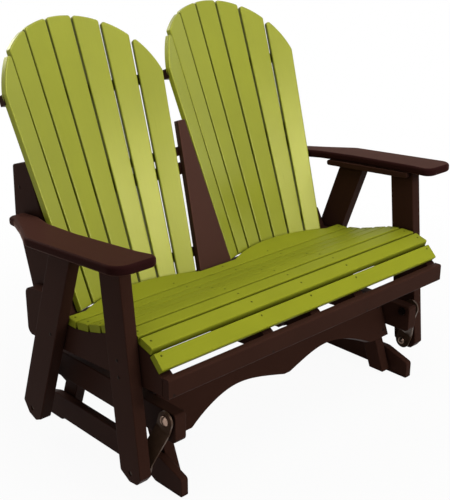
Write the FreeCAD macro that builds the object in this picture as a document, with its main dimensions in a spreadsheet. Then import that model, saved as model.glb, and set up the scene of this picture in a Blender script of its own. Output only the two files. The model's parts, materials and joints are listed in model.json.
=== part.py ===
import FreeCAD, Part
import math
import os

# Two-seat fan-back garden glider, in millimetres.
# x runs across the seat, y from front to back, z up from the floor.
# The drawing works from y = 0 at the front face of the seat rail. Every placement then moves
# the glider so that the origin lies on the floor under the middle of the whole object.

SIZES = {
    # frame boards
    "board_thick": 38.0,
    "edge_round": 3.0,
    "seat_half_width": 587.0,
    "bolt_hole_clearance": 0.25,
    # legs
    "front_leg_width": 89.0,
    "front_leg_lean": 5.8,
    "back_leg_width": 94.0,
    "back_leg_lean": -20.0,
    "foot_below_pivot": 28.0,
    "foot_bevel": 26.0,
    # armrests, measured along their underside
    "arm_height": 698.0,
    "arm_slope": 3.9,
    "arm_thick": 26.0,
    "arm_edge_round": 9.0,
    "arm_overhang": 108.0,
    "arm_front": 50.0,
    "arm_back": 690.0,
    "cleat_height": 19.0,
    "cleat_thick": 20.0,
    "cleat_front": 150.0,
    "cleat_back": 495.0,
    # seat
    "slat_thick": 22.0,
    "slat_round": 4.5,
    "seat_slat_width": 50.0,
    "slat_end_clearance": 1.0,
    "rear_slat_depth": 112.0,
    "rear_slat_gap": 3.0,
    "front_rail_thick": 25.0,
    "front_rail_height": 56.0,
    "front_rail_bottom": 347.0,
    "stringer_front_bottom": 350.0,
    "stringer_back": 655.0,
    "stringer_back_bottom": 311.0,
    "stringer_back_top": 462.0,
    "inner_stringer_offset": 198.0,
    "rear_rail_front": 545.0,
    "rear_rail_bottom": 316.0,
    "rear_rail_height": 52.0,
    # fan backs: how far the seven slats of a fan differ from half the seat at their tops and feet
    "fan_spread": 8.0,
    "fan_lean": 21.84,
    "fan_top": 1207.0,
    "fan_bottom": 416.0,
    "fan_slat_thick": 17.0,
    "fan_flare": 46.5,
    "fan_taper": 127.8,
    "fan_slat_gap": 5.0,
    "fan_arc_radius": 305.0,
    "fan_cup_radius_low": 561.4,
    "fan_cup_radius_high": 600.0,
    "fan_corner_round": 9.0,
    # battens and posts behind the fans
    "batten_thick": 26.0,
    "batten_bite": 3.0,
    "upper_batten_middle": 992.0,
    "upper_batten_height": 30.0,
    "upper_batten_inset": 10.5,
    "middle_batten_middle": 762.0,
    "middle_batten_height": 28.0,
    "waist_batten_middle": 712.0,
    "waist_batten_height": 38.0,
    "lower_batten_middle": 464.0,
    "lower_batten_height": 30.0,
    "batten_centre_gap": 20.0,
    "post_clearance": 0.4,
    "post_bottom": 330.0,
    "post_top": 834.0,
    # board that fills the space between the fans
    "centre_board_bottom": 397.0,
    "centre_board_top": 877.0,
    "centre_board_low_half": 71.0,
    "centre_board_high_half": 15.0,
    "centre_board_thick": 20.0,
    "centre_board_lean": 19.66,
    "centre_board_forward": 60.9,
    # base
    "base_middle": 386.0,
    "base_inset": 58.0,
    "runner_thick": 25.0,
    "runner_half_length": 346.0,
    "runner_height": 88.0,
    "runner_relief": 8.0,
    "runner_pad": 115.0,
    "toe_height": 57.0,
    "toe_slope": 92.0,
    "base_rail_front": 45.0,
    "base_rail_back": 684.0,
    "base_rail_bottom": 171.0,
    "base_rail_height": 89.0,
    "upright_lean": 20.4,
    "upright_width": 57.0,
    "upright_clear": 10.0,
    "apron_thick": 28.0,
    "apron_front": 75.0,
    "apron_top": 262.0,
    "apron_end": 137.0,
    "apron_peak": 196.0,
    "apron_drop": 163.0,
    "apron_shoulder": 400.0,
    "apron_peak_offset": 205.0,
    # swing links
    "front_lower_pivot": 124.5,
    "rear_lower_pivot": 604.5,
    "lower_pivot_height": 88.0,
    "front_upper_pivot": 72.0,
    "rear_upper_pivot": 634.0,
    "upper_pivot_height": 240.0,
    "link_thick": 6.0,
    "link_width": 54.0,
    "link_upper_offset": 8.0,
    "link_lower_offset": 8.0,
    "link_side_gap": 1.0,
    "pin_radius": 6.0,
    "pin_running_clearance": 0.05,
    "open_pivot_clearance": 3.4,
    "collar_radius": 12.0,
    "bolt_head_radius": 15.0,
    "bolt_head_height": 8.0,
    "bolt_sink": 3.0,
    "nut_height": 9.0,
}

# Each straight seat slat: front edge of its top face (y, z) and its tilt in degrees.
SEAT_SLATS = [
    (22.0, 423.0, 46.0),
    (63.0, 471.0, 17.0),
    (119.0, 486.5, 1.5),
    (177.0, 487.0, -8.0),
    (234.0, 476.5, -16.0),
    (289.5, 459.0, -15.5),
    (345.5, 442.5, -9.5),
]
REAR_SLAT_FRONT = 403.0
REAR_SLAT_TOP = 432.0

# Back edge of the back posts from the bottom up: (distance behind the fans' front, z, corner radius).
POST_BACK_EDGE = [
    (159.5, 330.0, 12.0),
    (131.9, 606.0, 60.0),
    (133.4, 652.0, 40.0),
    (63.3, 812.0, 10.0),
]

LEFT = -1
RIGHT = 1
SIDE_NAMES = {LEFT: "left", RIGHT: "right"}
X_AXIS = FreeCAD.Vector(1, 0, 0)
Z_AXIS = FreeCAD.Vector(0, 0, 1)

document = FreeCAD.newDocument("fan_back_glider")
sheet = document.addObject("Spreadsheet::Sheet", "Sizes")
for row, (size_name, size_value) in enumerate(SIZES.items(), start=1):
    sheet.set("A%d" % row, size_name)
    sheet.set("B%d" % row, str(size_value))
    sheet.setAlias("B%d" % row, size_name)
document.recompute()

pieces = {}


def size(name):
    return float(sheet.get(name))


def sine(degrees):
    return math.sin(math.radians(degrees))


def cosine(degrees):
    return math.cos(math.radians(degrees))


def tangent(degrees):
    return math.tan(math.radians(degrees))


def fan_depth(height):
    """Depth of a fan's middle slat at a height above the floor: its foot stands behind the rear slat."""
    foot = REAR_SLAT_FRONT + size("rear_slat_depth")
    return foot + (height - size("fan_bottom")) * tangent(size("fan_lean"))


# Half of the depth from the seat rail to the upper back corner of the middle fan slat.
middle_depth = (fan_depth(size("fan_top")) + size("fan_slat_thick") * cosine(size("fan_lean"))) / 2.0


def place(x, y, z, rotation=FreeCAD.Rotation()):
    return FreeCAD.Placement(FreeCAD.Vector(x, y - middle_depth, z), rotation)


def lean_back(degrees):
    return FreeCAD.Rotation(X_AXIS, -degrees)


def new_body(name, exported=True):
    body = document.addObject("PartDesign::Body", name)
    body.Label = name
    if exported:
        pieces[name] = body
    return body


def new_sketch(body, name, role):
    sketch = body.newObject("Sketcher::SketchObject", name)
    planes = [feature for feature in body.Origin.OriginFeatures if feature.Role == role]
    sketch.AttachmentSupport = (planes[0], [""])
    sketch.MapMode = "FlatFace"
    return sketch


def flat(first, second):
    return FreeCAD.Vector(first, second, 0)


def rounded_outline(corners):
    """Lines and arcs of a closed outline whose corners are (first, second, radius)."""
    bends = []
    count = len(corners)
    for index in range(count):
        here = flat(*corners[index][:2])
        radius = corners[index][2]
        if radius == 0:
            bends.append((here, None, here))
            continue
        to_last = (flat(*corners[index - 1][:2]) - here).normalize()
        to_next = (flat(*corners[(index + 1) % count][:2]) - here).normalize()
        half_angle = to_last.getAngle(to_next) / 2.0
        tangent_length = radius / math.tan(half_angle)
        inward = (to_last + to_next).normalize()
        centre = here + inward * (radius / math.sin(half_angle))
        bends.append((here + to_last * tangent_length, centre - inward * radius, here + to_next * tangent_length))
    geometry = []
    for index in range(count):
        enter, middle, leave = bends[index]
        following = bends[(index + 1) % count][0]
        if middle is not None:
            geometry.append(Part.Arc(enter, middle, leave))
        if leave.distanceToPoint(following) > 1e-6:
            geometry.append(Part.LineSegment(leave, following))
    return geometry


def circle(first, second, radius):
    return Part.Circle(flat(first, second), Z_AXIS, radius)


def padded(body, role, geometry, length, symmetric=False, reverse=False):
    """Pad an outline drawn on one of the body's own planes; length is a formula of sheet sizes."""
    sketch = new_sketch(body, body.Name + "_outline", role)
    sketch.addGeometry(geometry, False)
    pad = body.newObject("PartDesign::Pad", body.Name + "_pad")
    pad.Profile = sketch
    pad.setExpression("Length", length)
    if symmetric:
        pad.SideType = "Symmetric"
    pad.Reversed = reverse
    document.recompute()
    return pad


def edges_at(shape, axis, levels):
    """Names of the edges that lie wholly in a plane across the axis at one of the levels."""
    names = []
    for number, edge in enumerate(shape.Edges, start=1):
        box = edge.BoundBox
        low = (box.XMin, box.YMin, box.ZMin)[axis]
        high = (box.XMax, box.YMax, box.ZMax)[axis]
        if any(abs(low - level) < 1e-4 and abs(high - level) < 1e-4 for level in levels):
            names.append("Edge%d" % number)
    return names


def soften(body, feature, radius, edge_names):
    fillet = body.newObject("PartDesign::Fillet", body.Name + "_round")
    fillet.Base = (feature, edge_names)
    fillet.setExpression("Radius", radius)
    return fillet


def side_board(name, side, inner_x, geometry, exported=True, thick_name="board_thick"):
    """Board standing in a y-z plane, its inner face at inner_x on the given side."""
    body = new_body(name, exported)
    pad = padded(body, "YZ_Plane", geometry, "Sizes." + thick_name)
    soften(body, pad, "Sizes.edge_round", edges_at(pad.Shape, 0, [0.0, size(thick_name)]))
    start_x = inner_x if side == RIGHT else -inner_x - size(thick_name)
    body.Placement = place(start_x, 0, 0)
    return body


def group(name, members):
    compound = document.addObject("Part::Compound", name)
    compound.Label = name
    compound.Links = members
    pieces[name] = compound
    return compound


# Armrest underside: one sloping plane that the leg tops and the cleats share.
def arm_underside(y):
    return size("arm_height") - tangent(size("arm_slope")) * y


# Pivot positions. The links lean towards each other below the floor: their lines meet under the
# seat's centre of mass, so that the empty seat hangs at rest in the drawn position.
lower_pivots = {
    "front": size("front_lower_pivot"),
    "rear": size("rear_lower_pivot"),
}
upper_pivots = {
    "front": size("front_upper_pivot"),
    "rear": size("rear_upper_pivot"),
}
pin_hole = size("pin_radius") + size("bolt_hole_clearance")
base_outer = size("seat_half_width") - size("base_inset")
base_inner = base_outer - size("board_thick")
stringer_inner = size("seat_half_width") - size("board_thick")
post_inner = stringer_inner - size("board_thick")
centre_half = size("board_thick") / 2.0


def mirrored_in_depth(corners):
    """Front half of an outline, followed by its mirror image behind the middle of the base."""
    middle = size("base_middle")
    return corners + [(2 * middle - y, z, radius) for y, z, radius in reversed(corners)]


def make_runner(side):
    toe = size("base_middle") - size("runner_half_length")
    pad_end = toe + size("runner_pad")
    front_half = [
        (pad_end + 2 * size("runner_relief"), size("runner_relief"), 15.0),
        (pad_end, 0.0, 15.0),
        (toe, 0.0, 6.0),
        (toe, size("toe_height"), 12.0),
        (toe + size("toe_slope"), size("runner_height"), 60.0),
    ]
    outline = rounded_outline(mirrored_in_depth(front_half))
    side_board("runner_" + SIDE_NAMES[side], side, base_inner, outline, thick_name="runner_thick")


def make_base_rail(side):
    low = size("base_rail_bottom")
    high = low + size("base_rail_height")
    geometry = rounded_outline([
        (size("base_rail_front"), low, 16.0),
        (size("base_rail_back"), low, 16.0),
        (size("base_rail_back"), high, 8.0),
        (size("base_rail_front"), high, 8.0),
    ])
    for pivot_y in upper_pivots.values():
        geometry.append(circle(pivot_y, size("upper_pivot_height"), pin_hole))
    side_board("base_rail_" + SIDE_NAMES[side], side, base_inner, geometry)


# The uprights lean, and each apron lies flat against the edges of a pair of them.
apron_depth = size("apron_thick") / cosine(size("upright_lean"))
upright_depth = size("upright_width") / cosine(size("upright_lean"))


def make_upright(end, side):
    low = size("upright_clear")
    high = size("base_rail_bottom") + size("base_rail_height")
    slope = tangent(size("upright_lean"))
    edge = size("apron_front") + apron_depth
    corners = [
        (edge + slope * low, low, 4.0),
        (edge + upright_depth + slope * low, low, 4.0),
        (edge + upright_depth + slope * high, high, 4.0),
        (edge + slope * high, high, 4.0),
    ]
    if end == "rear":
        corners = [(2 * size("base_middle") - y, z, radius) for y, z, radius in corners]
    name = "upright_%s_%s" % (end, SIDE_NAMES[side])
    side_board(name, side, base_inner - size("board_thick"), rounded_outline(corners))


def make_apron(end):
    """Board with a two-arch lower edge, drawn in its own leaning plane."""
    stretch = 1.0 / cosine(size("upright_lean"))
    shoulder = size("apron_shoulder")
    peak_x = size("apron_peak_offset")
    rise = size("apron_peak") - size("apron_end")
    fall = size("apron_peak") - size("apron_drop")
    half_arch = [
        (shoulder, size("apron_end")),
        (peak_x + 0.53 * (shoulder - peak_x), size("apron_end") + 0.66 * rise),
        (peak_x, size("apron_peak")),
        (0.35 * peak_x, size("apron_drop") + 0.45 * fall),
        (0.06 * peak_x, size("apron_drop")),
    ]
    arches = []
    for side in (LEFT, RIGHT):
        points = [flat(side * x, z * stretch) for x, z in half_arch]
        curve = Part.BSplineCurve()
        curve.interpolate(points)
        arches.append(curve)
    low = size("apron_end") * stretch
    high = size("apron_top") * stretch
    drop = size("apron_drop") * stretch
    drop_x = 0.06 * peak_x
    ends = [flat(-base_inner, low), flat(-base_inner, high), flat(base_inner, high), flat(base_inner, low)]
    geometry = arches + [
        Part.LineSegment(flat(-drop_x, drop), flat(drop_x, drop)),
        Part.LineSegment(flat(-shoulder, low), ends[0]),
        Part.LineSegment(ends[0], ends[1]),
        Part.LineSegment(ends[1], ends[2]),
        Part.LineSegment(ends[2], ends[3]),
        Part.LineSegment(ends[3], flat(shoulder, low)),
    ]
    body = new_body(end + "_apron")
    padded(body, "XZ_Plane", geometry, "Sizes.apron_thick", reverse=True)
    if end == "front":
        body.Placement = place(0, size("apron_front"), 0, lean_back(size("upright_lean")))
    else:
        turned = FreeCAD.Rotation(Z_AXIS, 180).multiply(lean_back(size("upright_lean")))
        body.Placement = place(0, 2 * size("base_middle") - size("apron_front"), 0, turned)


for side in (LEFT, RIGHT):
    make_runner(side)
    make_base_rail(side)
    for end in ("front", "rear"):
        make_upright(end, side)
make_apron("front")
make_apron("rear")


# Swing links: flat bars that step outward from the base rail to the leg.
link_upper_x = base_outer + size("link_upper_offset")
link_lower_x = size("seat_half_width") - size("link_lower_offset") - size("link_thick")
pivot_drop = size("upper_pivot_height") - size("lower_pivot_height")


def make_link(end, side):
    pivot_shift = lower_pivots[end] - upper_pivots[end]
    link_length = math.hypot(pivot_drop, pivot_shift)
    link_lean = math.degrees(math.atan2(pivot_shift, pivot_drop))
    thick = size("link_thick")
    end_reach = size("link_width") / 2.0
    step = link_lower_x - link_upper_x
    upper_bend = -0.2 * link_length
    lower_bend = -0.8 * link_length
    tail = -link_length - end_reach
    corners = [
        (0.0, end_reach, 0.0),
        (thick, end_reach, 0.0),
        (thick, upper_bend, 12.0),
        (step + thick, lower_bend, 6.0),
        (step + thick, tail, 0.0),
        (step, tail, 0.0),
        (step, lower_bend, 12.0),
        (0.0, upper_bend, 6.0),
    ]
    body = new_body("link_%s_%s" % (end, SIDE_NAMES[side]))
    outline = rounded_outline([(side * x, z, radius) for x, z, radius in corners])
    pad = padded(body, "XZ_Plane", outline, "Sizes.link_width", symmetric=True)
    ends = [
        name for name in edges_at(pad.Shape, 2, [end_reach, tail])
        if pad.Shape.getElement(name).BoundBox.YLength < 1e-4
    ]
    rounding = soften(body, pad, "Sizes.link_width / 2 - 0.2", ends)
    document.recompute()
    eyes = new_sketch(body, body.Name + "_eyes", "YZ_Plane")
    eyes.addGeometry(circle(0.0, 0.0, size("pin_radius") + size("pin_running_clearance")), False)
    lower_play = "open_pivot_clearance" if end == "rear" else "pin_running_clearance"
    eyes.addGeometry(circle(0.0, -link_length, size("pin_radius") + size(lower_play)), False)
    bore = body.newObject("PartDesign::Pocket", body.Name + "_bores")
    bore.Profile = eyes
    bore.Type = "ThroughAll"
    bore.SideType = "Symmetric"
    body.Placement = place(
        side * link_upper_x, upper_pivots[end], size("upper_pivot_height"), lean_back(-link_lean)
    )
    document.recompute()
    assert rounding.Shape.Volume > bore.Shape.Volume


def dome(base_x, radius, height):
    """Middle point and tip of the arc of a domed end; a negative height points inward."""
    sphere = (radius ** 2 + height ** 2) / (2.0 * abs(height))
    centre_x = base_x + height - math.copysign(sphere, height)
    half_turn = math.asin(min(1.0, radius / sphere)) / 2.0
    middle = flat(centre_x + math.copysign(sphere * math.cos(half_turn), height), sphere * math.sin(half_turn))
    return middle, flat(base_x + height, 0.0)


def turned_bolt(name, side, y, z, outline, dome_height):
    """Bolt turned about its axis from (distance from the middle, radius) points and a domed end."""
    body = new_body(name, exported=False)
    sketch = new_sketch(body, name + "_profile", "XY_Plane")
    points = [flat(x, radius) for x, radius in outline]
    for first, second in zip(points[:-1], points[1:]):
        sketch.addGeometry(Part.LineSegment(first, second), False)
    arc_middle, tip = dome(outline[-1][0], outline[-1][1], dome_height)
    sketch.addGeometry(Part.Arc(points[-1], arc_middle, tip), False)
    sketch.addGeometry(Part.LineSegment(tip, points[0]), False)
    turned = body.newObject("PartDesign::Revolution", name + "_turned")
    turned.Profile = sketch
    turned.ReferenceAxis = (sketch, ["H_Axis"])
    turned.Angle = 360.0
    rotation = FreeCAD.Rotation() if side == RIGHT else FreeCAD.Rotation(Z_AXIS, 180)
    body.Placement = place(0, y, z, rotation)
    return body


def upper_bolt_outline():
    """Nut inside the base rail, shank, collar, bearing length for the link, then the head."""
    pin = size("pin_radius")
    collar = size("collar_radius")
    nut_end = base_inner - size("nut_height")
    collar_end = link_upper_x - size("link_side_gap")
    head_start = link_upper_x + size("link_thick") + size("link_side_gap")
    return [
        (nut_end, 0.0),
        (nut_end, collar),
        (base_inner, collar),
        (base_inner, pin),
        (base_outer, pin),
        (base_outer, collar),
        (collar_end, collar),
        (collar_end, pin),
        (head_start, pin),
        (head_start, size("bolt_head_radius")),
        (head_start + 2.0, size("bolt_head_radius")),
    ]


def lower_bolt_outline():
    """Sunk end in the leg, shank, collar, bearing length for the link, then the nut."""
    pin = size("pin_radius")
    collar = size("collar_radius")
    leg_inner = size("seat_half_width")
    sunk_end = leg_inner + size("board_thick") - size("bolt_sink")
    collar_end = link_lower_x + size("link_thick") + size("link_side_gap")
    nut_start = link_lower_x - size("link_side_gap")
    return [
        (sunk_end, 0.0),
        (sunk_end, pin),
        (leg_inner, pin),
        (leg_inner, collar),
        (collar_end, collar),
        (collar_end, pin),
        (nut_start, pin),
        (nut_start, collar),
        (nut_start - 5.0, collar),
    ]


upper_bolts = []
lower_bolts = []
for side in (LEFT, RIGHT):
    for end in ("front", "rear"):
        make_link(end, side)
        corner = "%s_%s" % (end, SIDE_NAMES[side])
        upper_bolts.append(turned_bolt(
            "upper_bolt_" + corner, side, upper_pivots[end], size("upper_pivot_height"),
            upper_bolt_outline(), size("bolt_head_height"),
        ))
        lower_bolts.append(turned_bolt(
            "lower_bolt_" + corner, side, lower_pivots[end], size("lower_pivot_height"),
            lower_bolt_outline(), -size("bolt_head_height"),
        ))
group("upper_pivot_bolts", upper_bolts)
group("lower_pivot_bolts", lower_bolts)


# Legs: leaning boards from below the lower pivot to the sloping underside of the armrest.
def make_leg(end, side):
    lean = size("front_leg_lean") if end == "front" else size("back_leg_lean")
    width = size("front_leg_width") if end == "front" else size("back_leg_width")
    pivot_y = lower_pivots[end]
    pivot_z = size("lower_pivot_height")
    half = width / 2.0
    foot = -size("foot_below_pivot")
    bevel = size("foot_bevel")

    def leg_point(back, up):
        y = pivot_y + back * cosine(lean) + up * sine(lean)
        z = pivot_z - back * sine(lean) + up * cosine(lean)
        return y, z

    def top_point(back):
        y, z = leg_point(back, 0.0)
        climb = (arm_underside(y) - z) / (cosine(lean) + tangent(size("arm_slope")) * sine(lean))
        return leg_point(back, climb)

    corners = [
        top_point(-half) + (0.0,),
        leg_point(-half, foot + 0.8 * bevel) + (8.0,),
        leg_point(-half + 0.8 * bevel, foot) + (8.0,),
        leg_point(half - 1.4 * bevel, foot) + (8.0,),
        leg_point(half, foot + bevel) + (8.0,),
        top_point(half) + (0.0,),
    ]
    geometry = rounded_outline(corners)
    geometry.append(circle(pivot_y, pivot_z, pin_hole))
    side_board("%s_leg_%s" % (end, SIDE_NAMES[side]), side, size("seat_half_width"), geometry)


def make_cleat(side):
    front = size("cleat_front")
    back = size("cleat_back")
    height = size("cleat_height")
    corners = [
        (front, arm_underside(front), 0.0),
        (front, arm_underside(front) - height, 6.0),
        (back, arm_underside(back) - height, 0.45 * height),
        (back, arm_underside(back), 0.45 * height),
    ]
    inner_x = size("seat_half_width") - size("cleat_thick")
    outline = rounded_outline(corners)
    return side_board("arm_cleat_" + SIDE_NAMES[side], side, inner_x, outline, False, "cleat_thick")


def make_armrest(side):
    """Paddle-shaped arm that narrows to a tail beside the back post."""
    waist = size("seat_half_width")
    outer = waist + size("arm_overhang")
    front = size("arm_front")
    back = size("arm_back")
    corners = [
        (stringer_inner + 4.0, front, 30.0),
        (outer, front, 48.0),
        (outer, back - 228.0, 60.0),
        (outer - 47.0, back - 130.0, 80.0),
        (outer - 81.0, back - 45.0, 40.0),
        (outer - 87.0, back, 22.0),
        (stringer_inner, back, 14.0),
        (stringer_inner, back - 76.0, 24.0),
        (waist - 17.0, back - 160.0, 60.0),
        (waist - 10.0, front + 330.0, 150.0),
        (waist - 15.0, front + 200.0, 150.0),
        (stringer_inner + 18.0, front + 80.0, 120.0),
    ]
    body = new_body("armrest_" + SIDE_NAMES[side])
    outline = rounded_outline([(side * x, y, radius) for x, y, radius in corners])
    pad = padded(body, "XY_Plane", outline, "Sizes.arm_thick")
    soften(body, pad, "Sizes.arm_edge_round", edges_at(pad.Shape, 2, [0.0, size("arm_thick")]))
    body.Placement = place(0, 0, size("arm_height"), lean_back(size("arm_slope")))


cleats = []
for side in (LEFT, RIGHT):
    make_leg("front", side)
    make_leg("rear", side)
    make_armrest(side)
    cleats.append(make_cleat(side))
group("arm_cleats", cleats)


# Fan geometry. Seven flat tapered slats stand side by side around a hollow. Drawn flat, their
# edges all point at one apex below the seat; s is the distance up a slat from its lower end.
lean = size("fan_lean")
slat_numbers = range(-3, 4)
fan_middle = (size("seat_half_width") + size("fan_spread")) / 2.0
pitch_high = (size("seat_half_width") + size("fan_flare")) / len(slat_numbers)
pitch_low = (size("seat_half_width") - size("fan_taper")) / len(slat_numbers)
fan_length = (size("fan_top") - size("fan_bottom")) / cosine(lean)
fan_angle = (pitch_high - pitch_low) / fan_length
apex_distance = pitch_low / fan_angle


def fan_placement(side, height):
    return place(side * fan_middle, fan_depth(height), height, lean_back(lean))


def cup_radius(up_slat):
    low = size("fan_cup_radius_low")
    return low + (size("fan_cup_radius_high") - low) * up_slat / fan_length


def cup_turn(number, up_slat):
    """Angle in degrees round the hollow of a slat's middle line."""
    pitch = (apex_distance + up_slat) * fan_angle
    return math.degrees(number * pitch / cup_radius(up_slat))


def slat_middle(number, up_slat):
    """Point on a slat's front face, in the leaning frame of its fan."""
    radius = cup_radius(up_slat)
    turn = cup_turn(number, up_slat)
    rise = (apex_distance + up_slat) * math.cos(number * fan_angle) - apex_distance
    return FreeCAD.Vector(radius * sine(turn), -radius * (1.0 - cosine(turn)), rise)


def slat_placement(side, number):
    """The slat runs from its place round the hollow at the bottom to its place at the top."""
    start = slat_middle(number, 0.0)
    along = (slat_middle(number, fan_length) - start).normalize()
    turn = cup_turn(number, fan_length / 2.0)
    backward = FreeCAD.Vector(sine(turn), cosine(turn), 0)
    turned = FreeCAD.Rotation(backward.cross(along), backward, along, "ZYX")
    return fan_placement(side, size("fan_bottom")).multiply(FreeCAD.Placement(start, turned))


def slat_corner(edge_slope, edge_start, arc_centre, arc_radius, radius):
    """Rounded corner between a straight slat edge on the right and the arc of the fan top."""
    stretch = math.hypot(1.0, edge_slope)
    inset = edge_start - radius * stretch
    offset = inset - arc_centre[0]
    a = 1.0 + edge_slope ** 2
    b = 2.0 * (offset * edge_slope - arc_centre[1])
    c = offset ** 2 + arc_centre[1] ** 2 - (arc_radius - radius) ** 2
    height = (-b + math.sqrt(b * b - 4.0 * a * c)) / (2.0 * a)
    centre = flat(inset + edge_slope * height, height)
    on_edge = centre + flat(1.0, -edge_slope) * (radius / stretch)
    hub = flat(*arc_centre)
    on_arc = hub + (centre - hub) * (arc_radius / (arc_radius - radius))
    outward = ((on_edge - centre) + (on_arc - centre)).normalize()
    return on_edge, centre + outward * radius, on_arc


def flipped(point):
    return flat(-point.x, point.y)


def slat_outline(number):
    edge_slope = math.tan(fan_angle / 2.0)
    edge_start = apex_distance * edge_slope - size("fan_slat_gap") / 2.0
    radius = size("fan_arc_radius")
    hub_distance = apex_distance + fan_length - radius
    bearing = number * fan_angle
    hub = (-hub_distance * math.sin(bearing), hub_distance * math.cos(bearing) - apex_distance)
    round_radius = size("fan_corner_round")
    right_edge, right_bend, right_arc = slat_corner(edge_slope, edge_start, hub, radius, round_radius)
    flipped_hub = (-hub[0], hub[1])
    left = slat_corner(edge_slope, edge_start, flipped_hub, radius, round_radius)
    left_edge, left_bend, left_arc = [flipped(point) for point in left]
    hub_point = flat(*hub)
    crown = hub_point + ((right_arc - hub_point) + (left_arc - hub_point)).normalize() * radius
    low_right = flat(edge_start, 0.0)
    low_left = flat(-edge_start, 0.0)
    return [
        Part.LineSegment(low_left, low_right),
        Part.LineSegment(low_right, right_edge),
        Part.Arc(right_edge, right_bend, right_arc),
        Part.Arc(right_arc, crown, left_arc),
        Part.Arc(left_arc, left_bend, left_edge),
        Part.LineSegment(left_edge, low_left),
    ]


def make_fan_slat(side, number):
    name = "back_slat_%s_%d" % (SIDE_NAMES[side], number + 4)
    body = new_body(name)
    pad = padded(body, "XZ_Plane", slat_outline(number), "Sizes.fan_slat_thick", reverse=True)
    soften(body, pad, "Sizes.slat_round", edges_at(pad.Shape, 1, [0.0]))
    body.Placement = slat_placement(side, number)
    return body


def centre_board_front(height):
    low = size("centre_board_bottom")
    foot = fan_depth(low) - size("centre_board_forward")
    return foot + (height - low) * tangent(size("centre_board_lean"))


def make_centre_board():
    """Tapered board between the fans, leaning like their inner edges."""
    low = size("centre_board_bottom")
    length = (size("centre_board_top") - low) / cosine(size("centre_board_lean"))
    low_half = size("centre_board_low_half")
    high_half = size("centre_board_high_half")
    outline = rounded_outline([
        (-low_half, 0.0, 0.0),
        (low_half, 0.0, 0.0),
        (high_half, length, 3.0),
        (-high_half, length, 3.0),
    ])
    body = new_body("centre_board")
    pad = padded(body, "XZ_Plane", outline, "Sizes.centre_board_thick", reverse=True)
    soften(body, pad, "Sizes.edge_round", edges_at(pad.Shape, 1, [0.0]))
    body.Placement = place(0, centre_board_front(low), low, lean_back(size("centre_board_lean")))
    return body


centre_board = make_centre_board()
back_boards = {}
for side in (LEFT, RIGHT):
    slats = [make_fan_slat(side, number) for number in slat_numbers]
    document.recompute()
    fan = document.addObject("Part::Compound", "fan_" + SIDE_NAMES[side])
    fan.Links = slats + [centre_board]
    back_boards[side] = fan


def make_batten(kind, side, start_x, end_x):
    """Curved board behind one fan, cut to seat against every board it crosses."""
    middle = size(kind + "_batten_middle")
    height = size(kind + "_batten_height")
    foot = middle - height / 2.0 * cosine(lean)
    up_slat = (middle - size("fan_bottom")) / cosine(lean)
    front_radius = cup_radius(up_slat) + size("fan_slat_thick")
    back_radius = front_radius + size("batten_thick")
    hub_y = size("fan_slat_thick") - size("batten_bite") - front_radius

    def on_arc(x, radius):
        return flat(x, hub_y + math.sqrt(radius ** 2 - x ** 2))

    first = side * (start_x - fan_middle)
    last = side * (end_x - fan_middle)
    between = (first + last) / 2.0
    geometry = [
        Part.Arc(on_arc(first, front_radius), on_arc(between, front_radius), on_arc(last, front_radius)),
        Part.LineSegment(on_arc(last, front_radius), on_arc(last, back_radius)),
        Part.Arc(on_arc(last, back_radius), on_arc(between, back_radius), on_arc(first, back_radius)),
        Part.LineSegment(on_arc(first, back_radius), on_arc(first, front_radius)),
    ]
    name = "%s_batten_%s" % (kind, SIDE_NAMES[side])
    blank = new_body(name + "_blank", exported=False)
    padded(blank, "XY_Plane", geometry, "Sizes.%s_batten_height" % kind)
    blank.Placement = fan_placement(side, foot)
    seated = document.addObject("Part::Cut", name)
    seated.Label = name
    seated.Base = blank
    seated.Tool = back_boards[side]
    return seated


battens = {"upper": [], "middle": [], "waist": [], "lower": []}
for side in (LEFT, RIGHT):
    inset = size("upper_batten_inset")
    battens["upper"].append(make_batten("upper", side, inset, 2 * fan_middle - inset))
    for kind in ("middle", "waist", "lower"):
        battens[kind].append(make_batten(kind, side, size("batten_centre_gap"), post_inner))
group("upper_battens", battens["upper"])
group("middle_battens", battens["middle"] + battens["waist"])
group("lower_battens", battens["lower"])


# Back posts: they stand just behind the outermost slats, and the battens end between them.
def post_front(height):
    """Back of the outermost left slat at the inner face of the left post."""
    slat = slat_placement(LEFT, slat_numbers[0])
    on_back = slat.multVec(FreeCAD.Vector(0, size("fan_slat_thick"), 0))
    normal = slat.Rotation.multVec(FreeCAD.Vector(0, 1, 0))
    to_x = (-post_inner - on_back.x) * normal.x
    to_z = (height - on_back.z) * normal.z
    return on_back.y - (to_x + to_z) / normal.y + middle_depth + size("post_clearance")


def make_post(side):
    low = size("post_bottom")
    high = size("post_top")
    corners = [(post_front(low), low, 0.0)]
    corners.extend((fan_depth(z) + behind, z, radius) for behind, z, radius in POST_BACK_EDGE)
    corners.append((post_front(high), high, 6.0))
    side_board("back_post_" + SIDE_NAMES[side], side, post_inner, rounded_outline(corners))


for side in (LEFT, RIGHT):
    make_post(side)


# Seat. The top edge of every stringer is made of the flats that the slats lie on.
def slat_flat(front_y, front_z, tilt):
    """Front and back edges of a slat's underside."""
    low_y = front_y + size("slat_thick") * sine(tilt)
    low_z = front_z - size("slat_thick") * cosine(tilt)
    width = size("seat_slat_width")
    return (low_y, low_z), (low_y + width * cosine(tilt), low_z + width * sine(tilt))


seat_flats = []
for slat in SEAT_SLATS:
    seat_flats.extend(slat_flat(*slat))
rear_flat = REAR_SLAT_TOP - size("slat_thick")
rail_back = size("front_rail_thick")


def stringer_bottom(y):
    drop = size("stringer_front_bottom") - size("stringer_back_bottom")
    return size("stringer_front_bottom") - drop * (y - rail_back) / (size("stringer_back") - rail_back)


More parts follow.
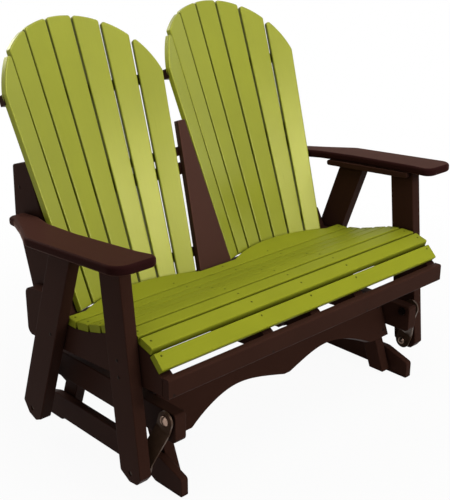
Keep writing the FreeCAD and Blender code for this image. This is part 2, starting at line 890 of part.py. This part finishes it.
def make_stringer(name, inner_x, tail):
    """Stringer from the seat rail back; tail is the outline behind the rear slat, from the bottom up."""
    corners = [(rail_back, stringer_bottom(rail_back), 0.0)]
    corners.extend(tail)
    corners.append((REAR_SLAT_FRONT, rear_flat, 0.0))
    corners.extend((y, z, 0.0) for y, z in reversed(seat_flats))
    corners.append((rail_back, size("front_rail_bottom") + size("front_rail_height") - 4.0, 0.0))
    body = new_body(name)
    padded(body, "YZ_Plane", rounded_outline(corners), "Sizes.board_thick")
    body.Placement = place(inner_x, 0, 0)


back = size("stringer_back")
outer_tail = [
    (back, stringer_bottom(back), 22.0),
    (back, size("stringer_back_top"), 25.0),
    (548.0, size("stringer_back_top") + 13.0, 18.0),
    (512.0, rear_flat, 0.0),
]
rail_front = size("rear_rail_front")
inner_tail = [
    (rail_front, stringer_bottom(rail_front), 0.0),
    (rail_front, size("rear_rail_bottom") + size("rear_rail_height"), 0.0),
    (478.0, size("rear_rail_bottom") + size("rear_rail_height"), 0.0),
    (466.0, rear_flat, 0.0),
]
centre_flat_end = centre_board_front(size("centre_board_bottom")) - 10.0
centre_tail = inner_tail[:2] + [
    (centre_flat_end, size("rear_rail_bottom") + size("rear_rail_height"), 0.0),
    (centre_flat_end, rear_flat, 0.0),
]
make_stringer("stringer_outer_left", -size("seat_half_width"), outer_tail)
make_stringer("stringer_outer_right", stringer_inner, outer_tail)
make_stringer("stringer_inner_left", -size("inner_stringer_offset") - centre_half, inner_tail)
make_stringer("stringer_inner_right", size("inner_stringer_offset") - centre_half, inner_tail)
make_stringer("stringer_centre", -centre_half, centre_tail)


def box_body(name, role, corners, length, exported=True):
    body = new_body(name, exported)
    pad = padded(body, role, rounded_outline(corners), length, symmetric=True)
    return body, pad


front_rail_top = size("front_rail_bottom") + size("front_rail_height")
front_rail, front_rail_pad = box_body("front_seat_rail", "YZ_Plane", [
    (0.0, size("front_rail_bottom"), 6.0),
    (rail_back, size("front_rail_bottom"), 3.0),
    (rail_back, front_rail_top, 3.0),
    (0.0, front_rail_top, 6.0),
], "2 * (Sizes.seat_half_width - Sizes.slat_end_clearance)")
front_rail.Placement = place(0, 0, 0)

rear_rail_top = size("rear_rail_bottom") + size("rear_rail_height")
rear_rail, rear_rail_pad = box_body("rear_seat_rail", "YZ_Plane", [
    (rail_front, size("rear_rail_bottom"), 3.0),
    (rail_front + size("board_thick"), size("rear_rail_bottom"), 3.0),
    (rail_front + size("board_thick"), rear_rail_top, 3.0),
    (rail_front, rear_rail_top, 3.0),
], "2 * (Sizes.seat_half_width - 2 * Sizes.board_thick)")
rear_rail.Placement = place(0, 0, 0)

for number, (front_y, front_z, tilt) in enumerate(SEAT_SLATS, start=1):
    width = size("seat_slat_width")
    thick = size("slat_thick")
    slat, slat_pad = box_body("seat_slat_%d" % number, "YZ_Plane", [
        (0.0, 0.0, size("slat_round")),
        (0.0, -thick, 2.0),
        (width, -thick, 2.0),
        (width, 0.0, size("slat_round")),
    ], "2 * (Sizes.seat_half_width - Sizes.slat_end_clearance)")
    slat.Placement = place(0, front_y, front_z, lean_back(-tilt))


def make_rear_seat_slat():
    """Wide slat whose back edge follows the two hollow fans with a small gap."""
    half = size("seat_half_width") - size("slat_end_clearance")
    low = REAR_SLAT_TOP - size("slat_thick")
    up_slat = (low - size("fan_bottom")) / cosine(lean)
    hollow = cup_radius(up_slat)
    edge_turn = cup_turn(3.5, up_slat)
    fan_half = hollow * sine(edge_turn)
    fan_back = fan_depth(low) - size("rear_slat_gap")
    fan_edge = fan_back - hollow * (1.0 - cosine(edge_turn)) / cosine(lean)
    straight = min(fan_edge, centre_board_front(low) - size("rear_slat_gap"))
    fan_x = fan_middle
    geometry = [
        Part.LineSegment(flat(-half, REAR_SLAT_FRONT), flat(half, REAR_SLAT_FRONT)),
        Part.LineSegment(flat(half, REAR_SLAT_FRONT), flat(half, straight)),
        Part.LineSegment(flat(half, straight), flat(fan_x + fan_half, straight)),
        Part.Arc(flat(fan_x + fan_half, straight), flat(fan_x, fan_back), flat(fan_x - fan_half, straight)),
        Part.LineSegment(flat(fan_x - fan_half, straight), flat(fan_half - fan_x, straight)),
        Part.Arc(flat(fan_half - fan_x, straight), flat(-fan_x, fan_back), flat(-fan_x - fan_half, straight)),
        Part.LineSegment(flat(-fan_x - fan_half, straight), flat(-half, straight)),
        Part.LineSegment(flat(-half, straight), flat(-half, REAR_SLAT_FRONT)),
    ]
    body = new_body("seat_slat_8")
    pad = padded(body, "XY_Plane", geometry, "Sizes.slat_thick")
    soften(body, pad, "Sizes.slat_round", edges_at(pad.Shape, 2, [size("slat_thick")]))
    body.Placement = place(0, 0, low)


make_rear_seat_slat()


document.recompute()
os.makedirs("parts", exist_ok=True)
for feature in document.Objects:
    if "Invalid" in feature.State or "Error" in feature.State:
        raise RuntimeError("not built: " + feature.Name)
for name, piece in pieces.items():
    if piece.Shape.isNull() or not piece.Shape.isValid() or not piece.Shape.Solids:
        raise RuntimeError("bad shape: " + name)
    piece.Shape.exportStep("parts/%s.step" % name)
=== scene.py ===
import json
import math

import bmesh
import bpy
import numpy as np
from mathutils import Matrix, Vector
from mathutils.bvhtree import BVHTree


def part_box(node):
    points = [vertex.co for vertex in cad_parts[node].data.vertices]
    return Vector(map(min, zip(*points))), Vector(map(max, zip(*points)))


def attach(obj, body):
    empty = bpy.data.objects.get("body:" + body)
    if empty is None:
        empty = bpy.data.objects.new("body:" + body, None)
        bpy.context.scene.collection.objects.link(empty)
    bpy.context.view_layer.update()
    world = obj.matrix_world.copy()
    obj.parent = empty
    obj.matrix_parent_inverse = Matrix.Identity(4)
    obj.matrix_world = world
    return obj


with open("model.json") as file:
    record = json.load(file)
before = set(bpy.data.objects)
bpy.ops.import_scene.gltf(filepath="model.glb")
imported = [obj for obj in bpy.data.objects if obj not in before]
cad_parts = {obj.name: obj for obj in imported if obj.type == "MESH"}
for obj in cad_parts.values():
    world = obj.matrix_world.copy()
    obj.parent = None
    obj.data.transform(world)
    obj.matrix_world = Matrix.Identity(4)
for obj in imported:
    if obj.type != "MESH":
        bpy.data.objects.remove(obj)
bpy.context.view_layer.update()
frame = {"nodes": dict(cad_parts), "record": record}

# Looks of the fan-back glider: lime-green slats and dark brown boards of poly lumber, coated steel
# links and bolts, and the screw heads that hold the boards. Everything is in metres.

NODES = frame["nodes"]
SLOTS = {row["node"]: row["material_slot"] for row in frame["record"]["subparts"]}

# Colours as linear light.
GREEN = (0.232, 0.250, 0.0160)
BROWN = (0.0340, 0.0143, 0.0104)
# Armrests: the board brown painted darker, a painted shade.
ARMREST_SHADED_BROWN = (0.0180, 0.0056, 0.0056)
LINK_STEEL = (0.055, 0.031, 0.020)
BOLT_STEEL = (0.30, 0.21, 0.165)
# Foot bolts: the bolt steel painted darker, a painted shade.
FOOT_BOLT_SHADED_STEEL = (0.11, 0.075, 0.060)
# Dark steel of the brown screws, also the painted shade on the darkened ends of the bolts.
DARK_STEEL = (0.012, 0.008, 0.007)
DARK_GREEN = (0.060, 0.064, 0.006)
FLOOR_COLOUR = (0.50, 0.50, 0.50)
LAMP_COLOUR = (1.0, 0.985, 0.90)
WHITE = (1.0, 1.0, 1.0)

# Tints of the reflections.
GREEN_SHEEN = (1.0, 0.98, 0.42)
BROWN_SHEEN = (1.0, 0.45, 0.35)
STEEL_SHEEN = (1.0, 0.80, 0.66)

# Strength and blur of the boards' reflections. The seat is duller than the back, the armrests duller
# than the other brown boards, and the centre board brighter.
BACK_GLOSS = 0.66
BACK_ROUGHNESS = 0.31
SEAT_GLOSS = 0.05
SEAT_ROUGHNESS = 0.50
BOARD_GLOSS = 0.012
ARMREST_GLOSS = 0.004
CENTRE_BOARD_GLOSS = 0.26
BOARD_ROUGHNESS = 0.40

# Weathered bloom on the armrests, seen at grazing angles.
BLOOM = (0.60, 0.27, 0.18)
BLOOM_STRENGTH = 0.30
BLOOM_SPREAD = 0.35

# Grain of extruded boards: long along the board, fine across it, with wide blotches of tone.
GRAIN_LENGTH = 0.085
GRAIN_WIDTH = 0.0014
GRAIN_DETAIL = 4.0
GRAIN_DARK = 0.93
GRAIN_LIGHT = 1.06
GRAIN_SMOOTHER = 0.04
GRAIN_ROUGHER = 0.06
GRAIN_BUMP = 0.16
GRAIN_DEPTH = 0.0004
BLOTCH_SIZE = 0.16
BLOTCH_DETAIL = 2.0
BLOTCH_DARK = 0.94
BLOTCH_LIGHT = 1.05

# Painted shade on the walls of narrow gaps: how near the next board has to be, the shade and the
# roughness.
GAP_SHADE_REACH = 0.014
GAP_SHADE_RAYS = 2
GAP_PAINTED_SHADE = 0.08
GAP_SHADE_ROUGHNESS = 1.0

# Finishes of the metal: metallic share, roughness and gloss.
LINK_FINISH = (0.25, 0.34, 0.32)
BOLT_FINISH = (0.85, 0.28, 0.20)
GREEN_SCREW_FINISH = (0.2, 0.45, 0.03)
BROWN_SCREW_FINISH = (0.3, 0.45, 0.03)

# Coat of the metal: fine orange peel, rubbed patches, and a clear layer with a share of the gloss.
PEEL_SCALE = 900.0
PEEL_DETAIL = 2.0
PEEL_BUMP = 0.15
PEEL_DEPTH = 0.0003
RUB_SCALE = 60.0
RUB_DETAIL = 5.0
RUB_DARK = 0.72
RUB_LIGHT = 1.45
RUB_SMOOTHER = 0.07
RUB_ROUGHER = 0.10
COAT_SHARE = 0.5
COAT_ROUGHNESS = 0.18

# Distances from the middle of the seat: upper pivot bolts shine outside theirs, foot bolts inside; painted
# shade darkens the rest.
BOLT_PAINTED_SHADE_TO = 0.51
FOOT_BOLT_PAINTED_SHADE_FROM = 0.585

# Part of a noise texture's range that is spread over the range of a look.
NOISE_LOW = 0.25
NOISE_HIGH = 0.75

# Shape of a screw head of radius 1 and height 1: rings from the buried rim inward as (radius, height),
# then a star recess, whose rim and floor are given as (height, scale).
HEAD_SEGMENTS = 24
HEAD_PROFILE = ((1.0, -1.0), (1.0, 0.25), (0.93, 0.60), (0.76, 0.88), (0.56, 1.0))
RECESS_RINGS = ((1.0, 1.0), (0.25, 0.92))
RECESS_LOBES = 6
RECESS_RADIUS = 0.36
RECESS_WAVE = 0.06
SHARP_ANGLE = math.radians(40.0)

# Radius and height of the heads. Those on the front rail are flush, because the rail is the part's front.
SEAT_HEAD = (0.0030, 0.0007)
RAIL_HEAD = (0.0038, 0.00004)
BATTEN_HEAD = (0.0042, 0.0014)
FRAME_HEAD = (0.0048, 0.0014)
APRON_HEAD = (0.0045, 0.0014)

# Where the boards are screwed together, across the seat and up the back.
SHOT_REACH = 0.2
SEAT_SLATS = 8
OUTER_STRINGER_X = 0.568
INNER_STRINGER_X = 0.205
SEAT_SCREW_INSET = 0.0245
RAIL_SCREW_RISE = 0.009
FAN_MIDDLE_X = 0.2975
FAN_LEAN = math.radians(21.84)
FAN_FOOT_Y = 0.0911
FAN_FOOT_Z = 0.416
FAN_TOP_Z = 1.207
SLATS_BESIDE_MIDDLE = 3
FOOT_PITCH = 0.0656
TOP_PITCH = 0.0905
CUP_RADIUS = 0.585
# Battens: node, height of the row, and how far from the middle of the seat it takes screws.
BATTEN_ROWS = (
    ("upper_battens", 0.992, 0.560),
    ("middle_battens", 0.762, 0.500),
    ("middle_battens", 0.712, 0.500),
    ("lower_battens", 0.464, 0.500),
)
# Fasteners on the outer faces of the legs and posts: node stem, then depth and height of each head.
SIDE_FASTENERS = {
    "front_leg": ((-0.2619, 0.414), (-0.2659, 0.366)),
    "rear_leg": ((0.0501, 0.381),),
    "back_post": ((0.2841, 0.749), (0.2391, 0.572)),
}
SIDE_SHOT_X = 0.9
APRON_SCREW_X = 0.472
APRON_SCREW_INSET = 0.030

# Floor: half its side, its own roughness, and how much of it looks plain white near and far away.
FLOOR_HALF = 40.0
FLOOR_ROUGHNESS = 0.9
FLOOR_GLOW_SHARE = 0.945
GLOW_FADE_START = 0.6
GLOW_FADE_END = 2.2

# Light: strength of the surroundings, then the lamps' place, aim, width, height and watts.
AMBIENT = 0.25
LAMPS = {
    "overhead_softbox": ((0.3, -1.0, 3.5), (0.0, 0.1, 0.6), 2.8, 2.2, 72.0),
    "front_softbox": ((0.30, -3.1, 1.9), (0.0, 0.1, 0.8), 2.0, 0.65, 54.0),
    "left_softbox": ((-3.2, -0.8, 2.0), (0.0, 0.1, 0.6), 1.6, 1.2, 4.0),
    "rear_softbox": ((-0.8, 3.4, 2.6), (0.0, 0.1, 0.6), 2.4, 1.6, 64.0),
}

# Camera fitted to the photograph: focal length in pixels of its 500 pixel height, place and angles.
FOCAL_PIXELS = 971.0
PICTURE_HEIGHT = 500.0
CAMERA_PLACE = (-1.970, -2.1049, 1.576)
CAMERA_YAW = -43.21
CAMERA_PITCH = -20.66
CAMERA_REACH = 200.0


def rgba(colour):
    return colour + (1.0,)


def shaded(colour, share):
    return rgba(tuple(channel * share for channel in colour))


def new_material(name):
    material = bpy.data.materials.new(name)
    material.use_nodes = True
    return material, material.node_tree.nodes, material.node_tree.links


def feed(links, source, socket):
    """Link a node's output to an input, or set a plain value on it."""
    if isinstance(source, bpy.types.NodeSocket):
        links.new(source, socket)
    else:
        socket.default_value = source


def mixed(nodes, links, factor, first, second, kind="RGBA", blend="MIX"):
    """Blend of two colours or, with kind FLOAT, of two numbers."""
    mix = nodes.new("ShaderNodeMix")
    mix.data_type = kind
    mix.blend_type = blend
    feed(links, factor, mix.inputs["Factor"])
    feed(links, first, mix.inputs["A"])
    feed(links, second, mix.inputs["B"])
    return mix.outputs["Result"]


def calculated(nodes, links, operation, *values):
    """Result of a math node."""
    node = nodes.new("ShaderNodeMath")
    node.operation = operation
    for value, socket in zip(values, node.inputs):
        feed(links, value, socket)
    return node.outputs["Value"]


def ranged(nodes, links, value, low, high, start=NOISE_LOW, end=NOISE_HIGH):
    """Map a value's range from start to end onto the range from low to high."""
    spread = nodes.new("ShaderNodeMapRange")
    spread.inputs["From Min"].default_value = start
    spread.inputs["From Max"].default_value = end
    spread.inputs["To Min"].default_value = low
    spread.inputs["To Max"].default_value = high
    links.new(value, spread.inputs["Value"])
    return spread.outputs["Result"]


def bumped(nodes, links, height, strength, distance):
    bump = nodes.new("ShaderNodeBump")
    bump.inputs["Strength"].default_value = strength
    bump.inputs["Distance"].default_value = distance
    links.new(height, bump.inputs["Height"])
    return bump.outputs["Normal"]


def noise(nodes, links, vector, scale, detail):
    texture = nodes.new("ShaderNodeTexNoise")
    texture.inputs["Scale"].default_value = scale
    texture.inputs["Detail"].default_value = detail
    links.new(vector, texture.inputs["Vector"])
    return texture.outputs["Fac"]


def places(nodes):
    """Each point's place in the part's frame, which is also the frame of every node's mesh."""
    return nodes.new("ShaderNodeTexCoord").outputs["Object"]


def painted_shade_openness(nodes, links):
    """1 on open faces, near 0 on the walls of narrow gaps between boards, where shade is painted."""
    open_air = nodes.new("ShaderNodeAmbientOcclusion")
    open_air.samples = GAP_SHADE_RAYS
    open_air.inputs["Distance"].default_value = GAP_SHADE_REACH
    return ranged(nodes, links, open_air.outputs["AO"], 0.0, 1.0)


def poly_lumber(name, colour, sheen, along, gloss, roughness):
    """Board plastic with a brushed grain along its length, faint blotches of tone and painted shade in
    narrow gaps.
    """
    material, nodes, links = new_material(name)
    shader = nodes["Principled BSDF"]
    place = places(nodes)
    grain_space = nodes.new("ShaderNodeMapping")
    grain_space.vector_type = "TEXTURE"
    grain_space.inputs["Rotation"].default_value = along.to_track_quat("X", "Z").to_euler()
    grain_space.inputs["Scale"].default_value = (GRAIN_LENGTH, GRAIN_WIDTH, GRAIN_WIDTH)
    links.new(place, grain_space.inputs["Vector"])
    grain = noise(nodes, links, grain_space.outputs["Vector"], 1.0, GRAIN_DETAIL)
    blotch = noise(nodes, links, place, 1.0 / BLOTCH_SIZE, BLOTCH_DETAIL)
    unshaded = painted_shade_openness(nodes, links)
    grained = mixed(nodes, links, grain, shaded(colour, GRAIN_DARK), shaded(colour, GRAIN_LIGHT))
    tone = ranged(nodes, links, blotch, BLOTCH_DARK, BLOTCH_LIGHT)
    blotched = mixed(nodes, links, 1.0, grained, tone, blend="MULTIPLY")
    # Painted shade: the walls of narrow gaps take a darkened copy of the board's colour.
    gap_shaded = mixed(nodes, links, unshaded, shaded(colour, GAP_PAINTED_SHADE), blotched)
    brushed = ranged(nodes, links, grain, roughness - GRAIN_SMOOTHER, roughness + GRAIN_ROUGHER)
    dulled = mixed(nodes, links, unshaded, GAP_SHADE_ROUGHNESS, brushed, kind="FLOAT")
    links.new(gap_shaded, shader.inputs["Base Color"])
    links.new(dulled, shader.inputs["Roughness"])
    links.new(bumped(nodes, links, grain, GRAIN_BUMP, GRAIN_DEPTH), shader.inputs["Normal"])
    shader.inputs["Specular IOR Level"].default_value = gloss
    shader.inputs["Specular Tint"].default_value = rgba(sheen)
    return material


def add_bloom(material):
    """Weathered bloom of an armrest that faces the sky."""
    shader = material.node_tree.nodes["Principled BSDF"]
    shader.inputs["Sheen Weight"].default_value = BLOOM_STRENGTH
    shader.inputs["Sheen Roughness"].default_value = BLOOM_SPREAD
    shader.inputs["Sheen Tint"].default_value = rgba(BLOOM)


def coated_metal(name, colour, finish):
    """Coated steel: fine orange peel, with rubbed patches of lighter tone."""
    metallic, roughness, gloss = finish
    material, nodes, links = new_material(name)
    shader = nodes["Principled BSDF"]
    place = places(nodes)
    peel = noise(nodes, links, place, PEEL_SCALE, PEEL_DETAIL)
    rub = noise(nodes, links, place, RUB_SCALE, RUB_DETAIL)
    tinted = mixed(nodes, links, rub, shaded(colour, RUB_DARK), shaded(colour, RUB_LIGHT))
    rubbed = ranged(nodes, links, rub, roughness - RUB_SMOOTHER, roughness + RUB_ROUGHER)
    links.new(tinted, shader.inputs["Base Color"])
    links.new(rubbed, shader.inputs["Roughness"])
    links.new(bumped(nodes, links, peel, PEEL_BUMP, PEEL_DEPTH), shader.inputs["Normal"])
    shader.inputs["Metallic"].default_value = metallic
    shader.inputs["Specular IOR Level"].default_value = gloss
    shader.inputs["Specular Tint"].default_value = rgba(STEEL_SHEEN)
    shader.inputs["Coat Weight"].default_value = COAT_SHARE * gloss
    shader.inputs["Coat Tint"].default_value = rgba(STEEL_SHEEN)
    shader.inputs["Coat Roughness"].default_value = COAT_ROUGHNESS
    return material


def paint_shade_on_bolts(material, comparison, limit):
    """Paint shade on bolts: darken them except where their distance from the middle of the seat passes the
    comparison.
    """
    nodes = material.node_tree.nodes
    links = material.node_tree.links
    shader = nodes["Principled BSDF"]
    shiny_colour = shader.inputs["Base Color"].links[0].from_socket
    place = nodes.new("ShaderNodeSeparateXYZ")
    links.new(places(nodes), place.inputs["Vector"])
    reach = calculated(nodes, links, "ABSOLUTE", place.outputs["X"])
    shines = calculated(nodes, links, comparison, reach, limit)
    links.new(mixed(nodes, links, shines, rgba(DARK_STEEL), shiny_colour), shader.inputs["Base Color"])


def long_axis(node):
    """Direction of a board's length, from the spread of its points."""
    points = np.array([vertex.co for vertex in NODES[node].data.vertices])
    spread = np.linalg.svd(points - points.mean(axis=0), full_matrices=False)[2]
    return Vector(spread[0])


def green_board(name):
    gloss, roughness = BACK_GLOSS, BACK_ROUGHNESS
    if name.startswith("seat"):
        gloss, roughness = SEAT_GLOSS, SEAT_ROUGHNESS
    return poly_lumber("green_" + name, GREEN, GREEN_SHEEN, long_axis(name), gloss, roughness)


def brown_board(name):
    """Finish of a brown board. The two cleats of one node lie far apart, so their length is given."""
    along = Vector((0.0, 1.0, 0.0)) if name == "arm_cleats" else long_axis(name)
    if name.startswith("armrest"):
        material = poly_lumber(
            "brown_" + name, ARMREST_SHADED_BROWN, BROWN_SHEEN, along, ARMREST_GLOSS, BOARD_ROUGHNESS
        )
        add_bloom(material)
        return material
    gloss = CENTRE_BOARD_GLOSS if name == "centre_board" else BOARD_GLOSS
    return poly_lumber("brown_" + name, BROWN, BROWN_SHEEN, along, gloss, BOARD_ROUGHNESS)


def dress_cad_nodes():
    """Give every CAD node the finish of its slot; boards get their own grain direction."""
    link_finish = coated_metal("coated_link_steel", LINK_STEEL, LINK_FINISH)
    bolt_finish = coated_metal("worn_and_shaded_bolt_steel", BOLT_STEEL, BOLT_FINISH)
    # Painted shade: upper pivot bolt ends near the middle of the seat, and foot bolt ends away from it,
    # are painted dark.
    paint_shade_on_bolts(bolt_finish, "GREATER_THAN", BOLT_PAINTED_SHADE_TO)
    foot_bolt_finish = coated_metal("worn_and_shaded_foot_bolt_steel", FOOT_BOLT_SHADED_STEEL, BOLT_FINISH)
    paint_shade_on_bolts(foot_bolt_finish, "LESS_THAN", FOOT_BOLT_PAINTED_SHADE_FROM)
    for name, node in NODES.items():
        slot = SLOTS[name]
        if slot == "link_steel":
            material = link_finish
        elif name == "lower_pivot_bolts":
            material = foot_bolt_finish
        elif slot == "bolt_steel":
            material = bolt_finish
        elif slot == "green_slats":
            material = green_board(name)
        else:
            material = brown_board(name)
        node.data.materials.clear()
        node.data.materials.append(material)


def screw_head():
    """Rings of a pan head of radius 1 and height 1 with a star recess, from the buried rim inward."""
    rings = []
    for radius, height in HEAD_PROFILE:
        rings.append([(radius, height)] * HEAD_SEGMENTS)
    for height, scale in RECESS_RINGS:
        ring = []
        for step in range(HEAD_SEGMENTS):
            lobe = math.cos(RECESS_LOBES * 2.0 * math.pi * step / HEAD_SEGMENTS)
            ring.append(((RECESS_RADIUS + RECESS_WAVE * lobe) * scale, height))
        rings.append(ring)
    return rings


def add_head(mesh, spot, normal, radius, height):
    """Append one screw head to a bmesh, standing on a surface point."""
    turn = normal.to_track_quat("Z", "Y").to_matrix().to_4x4()
    stand = Matrix.Translation(spot) @ turn
    loops = []
    for ring in screw_head():
        loop = []
        for step, (ring_radius, ring_height) in enumerate(ring):
            angle = 2.0 * math.pi * step / HEAD_SEGMENTS
            flat = Vector((math.cos(angle), math.sin(angle), 0.0)) * ring_radius * radius
            loop.append(mesh.verts.new(stand @ (flat + Vector((0.0, 0.0, ring_height * height)))))
        loops.append(loop)
    for lower, upper in zip(loops[:-1], loops[1:]):
        for step in range(HEAD_SEGMENTS):
            following = (step + 1) % HEAD_SEGMENTS
            mesh.faces.new((lower[step], lower[following], upper[following], upper[step]))
    mesh.faces.new(loops[-1])
    mesh.faces.new(list(reversed(loops[0])))


def surface_of(node):
    """Tree of a node's faces that rays can be shot at."""
    mesh = NODES[node].data
    points = [vertex.co for vertex in mesh.vertices]
    faces = [face.vertices for face in mesh.polygons]
    return BVHTree.FromPolygons(points, faces)


def screws(name, body, material, shots, head):
    """Screw heads where shots, given as (node, start point, direction), meet the nodes' surfaces."""
    radius, height = head
    surfaces = {node: surface_of(node) for node in {shot[0] for shot in shots}}
    mesh = bmesh.new()
    for node, start, direction in shots:
        spot, normal = surfaces[node].ray_cast(Vector(start), Vector(direction))[:2]
        if spot is None:
            raise RuntimeError("a screw of %s misses %s" % (name, node))
        add_head(mesh, spot, normal, radius, height)
    data = bpy.data.meshes.new(name)
    mesh.to_mesh(data)
    mesh.free()
    data.shade_smooth()
    data.set_sharp_from_angle(angle=SHARP_ANGLE)
    data.materials.append(material)
    piece = bpy.data.objects.new(name, data)
    bpy.context.scene.collection.objects.link(piece)
    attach(piece, body)


def seat_screws(material):
    """One head over each stringer on every seat slat, shot down onto the slat's face."""
    shots = []
    for number in range(1, SEAT_SLATS + 1):
        node = "seat_slat_%d" % number
        low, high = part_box(node)
        for x in (-OUTER_STRINGER_X, -INNER_STRINGER_X, 0.0, INNER_STRINGER_X, OUTER_STRINGER_X):
            start = (x, low.y + SEAT_SCREW_INSET, high.z + SHOT_REACH)
            shots.append((node, start, (0.0, 0.0, -1.0)))
    screws("seat_slat_screws", "seat", material, shots, SEAT_HEAD)


def rail_screws(material):
    """Flush heads on the front of the front rail, one before each outer and inner stringer."""
    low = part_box("front_seat_rail")[0]
    shots = []
    for x in (-OUTER_STRINGER_X, -INNER_STRINGER_X, INNER_STRINGER_X, OUTER_STRINGER_X):
        start = (x, low.y - SHOT_REACH, low.z + RAIL_SCREW_RISE)
        shots.append(("front_seat_rail", start, (0.0, 1.0, 0.0)))
    screws("front_rail_screws", "seat", material, shots, RAIL_HEAD)


def batten_screws(material):
    """Heads on the back of the battens, one behind each slat of both fans."""
    inward = Vector((0.0, -math.cos(FAN_LEAN), math.sin(FAN_LEAN)))
    shots = []
    for node, z, end_x in BATTEN_ROWS:
        rise = z - FAN_FOOT_Z
        pitch = FOOT_PITCH + (TOP_PITCH - FOOT_PITCH) * rise / (FAN_TOP_Z - FAN_FOOT_Z)
        y = FAN_FOOT_Y + rise * math.tan(FAN_LEAN)
        for side in (-1.0, 1.0):
            for number in range(-SLATS_BESIDE_MIDDLE, SLATS_BESIDE_MIDDLE + 1):
                x = side * FAN_MIDDLE_X + CUP_RADIUS * math.sin(number * pitch / CUP_RADIUS)
                if abs(x) < end_x:
                    shots.append((node, Vector((x, y, z)) - inward * SHOT_REACH, inward))
    screws("batten_screws", "seat", material, shots, BATTEN_HEAD)


def side_screws(material):
    """Heads on the outer faces of the legs and back posts, shot inward from either side."""
    shots = []
    for stem, spots in SIDE_FASTENERS.items():
        for side_name, side in (("left", -1.0), ("right", 1.0)):
            for depth, height in spots:
                start = (side * SIDE_SHOT_X, depth, height)
                shots.append(("%s_%s" % (stem, side_name), start, (-side, 0.0, 0.0)))
    screws("frame_screws", "seat", material, shots, FRAME_HEAD)


def apron_screws(material):
    """Two heads at either end of both aprons, on their outer faces."""
    shots = []
    for node, facing in (("front_apron", 1.0), ("rear_apron", -1.0)):
        low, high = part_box(node)
        start_y = low.y - SHOT_REACH if facing > 0 else high.y + SHOT_REACH
        for x in (-APRON_SCREW_X, APRON_SCREW_X):
            for z in (low.z + APRON_SCREW_INSET, high.z - APRON_SCREW_INSET):
                shots.append((node, (x, start_y, z), (0.0, facing, 0.0)))
    screws("apron_screws", "base", material, shots, APRON_HEAD)


def white_to_the_eye(nodes, links):
    """1 for camera, glossy and transmitted rays, 0 for rays that light the object."""
    path = nodes.new("ShaderNodeLightPath")
    total = path.outputs["Is Camera Ray"]
    for kind in ("Is Glossy Ray", "Is Transmission Ray"):
        total = calculated(nodes, links, "MAXIMUM", total, path.outputs[kind])
    return total


def make_floor():
    """Plain pale floor that looks white to the camera and still takes the object's shadow."""
    data = bpy.data.meshes.new("floor")
    corners = [
        (-FLOOR_HALF, -FLOOR_HALF, 0.0),
        (FLOOR_HALF, -FLOOR_HALF, 0.0),
        (FLOOR_HALF, FLOOR_HALF, 0.0),
        (-FLOOR_HALF, FLOOR_HALF, 0.0),
    ]
    data.from_pydata(corners, [], [(0, 1, 2, 3)])
    floor = bpy.data.objects.new("floor", data)
    bpy.context.scene.collection.objects.link(floor)
    material, nodes, links = new_material("pale_floor")
    shader = nodes["Principled BSDF"]
    shader.inputs["Base Color"].default_value = rgba(FLOOR_COLOUR)
    shader.inputs["Roughness"].default_value = FLOOR_ROUGHNESS
    shader.inputs["Specular IOR Level"].default_value = 0.0
    glow = nodes.new("ShaderNodeEmission")
    glow.inputs["Strength"].default_value = 1.0
    distance = nodes.new("ShaderNodeVectorMath")
    distance.operation = "LENGTH"
    links.new(places(nodes), distance.inputs[0])
    away = distance.outputs["Value"]
    fade = ranged(nodes, links, away, FLOOR_GLOW_SHARE, 1.0, GLOW_FADE_START, GLOW_FADE_END)
    share = calculated(nodes, links, "MULTIPLY", white_to_the_eye(nodes, links), fade)
    blend = nodes.new("ShaderNodeMixShader")
    links.new(share, blend.inputs["Fac"])
    links.new(shader.outputs["BSDF"], blend.inputs[1])
    links.new(glow.outputs["Emission"], blend.inputs[2])
    links.new(blend.outputs["Shader"], nodes["Material Output"].inputs["Surface"])
    data.materials.append(material)


def make_world():
    """Even surroundings that light the object softly and look white to the camera."""
    world = bpy.data.worlds.new("studio")
    world.use_nodes = True
    nodes = world.node_tree.nodes
    links = world.node_tree.links
    background = nodes["Background"]
    background.inputs["Color"].default_value = rgba(WHITE)
    strength = ranged(nodes, links, white_to_the_eye(nodes, links), AMBIENT, 1.0, 0.0, 1.0)
    links.new(strength, background.inputs["Strength"])
    bpy.context.scene.world = world


def softbox(name, place, target, width, height, power):
    data = bpy.data.lights.new(name, "AREA")
    data.shape = "RECTANGLE"
    data.size = width
    data.size_y = height
    data.energy = power
    data.color = LAMP_COLOUR
    lamp = bpy.data.objects.new(name, data)
    lamp.location = place
    lamp.rotation_euler = (Vector(target) - Vector(place)).to_track_quat("-Z", "Y").to_euler()
    bpy.context.scene.collection.objects.link(lamp)


def make_camera():
    data = bpy.data.cameras.new("photo_camera")
    data.lens = FOCAL_PIXELS / PICTURE_HEIGHT * data.sensor_width
    data.clip_end = CAMERA_REACH
    camera = bpy.data.objects.new("photo_camera", data)
    camera.location = CAMERA_PLACE
    camera.rotation_euler = (math.radians(90.0 + CAMERA_PITCH), 0.0, math.radians(CAMERA_YAW))
    bpy.context.scene.collection.objects.link(camera)
    bpy.context.scene.camera = camera


dress_cad_nodes()
green_screw = coated_metal("green_screw_coat", DARK_GREEN, GREEN_SCREW_FINISH)
brown_screw = coated_metal("brown_screw_coat", DARK_STEEL, BROWN_SCREW_FINISH)
seat_screws(green_screw)
rail_screws(brown_screw)
batten_screws(brown_screw)
side_screws(brown_screw)
apron_screws(brown_screw)
make_floor()
make_world()
for lamp_name, lamp_rows in LAMPS.items():
    softbox(lamp_name, *lamp_rows)
make_camera()
bpy.context.scene.view_settings.view_transform = "Standard"
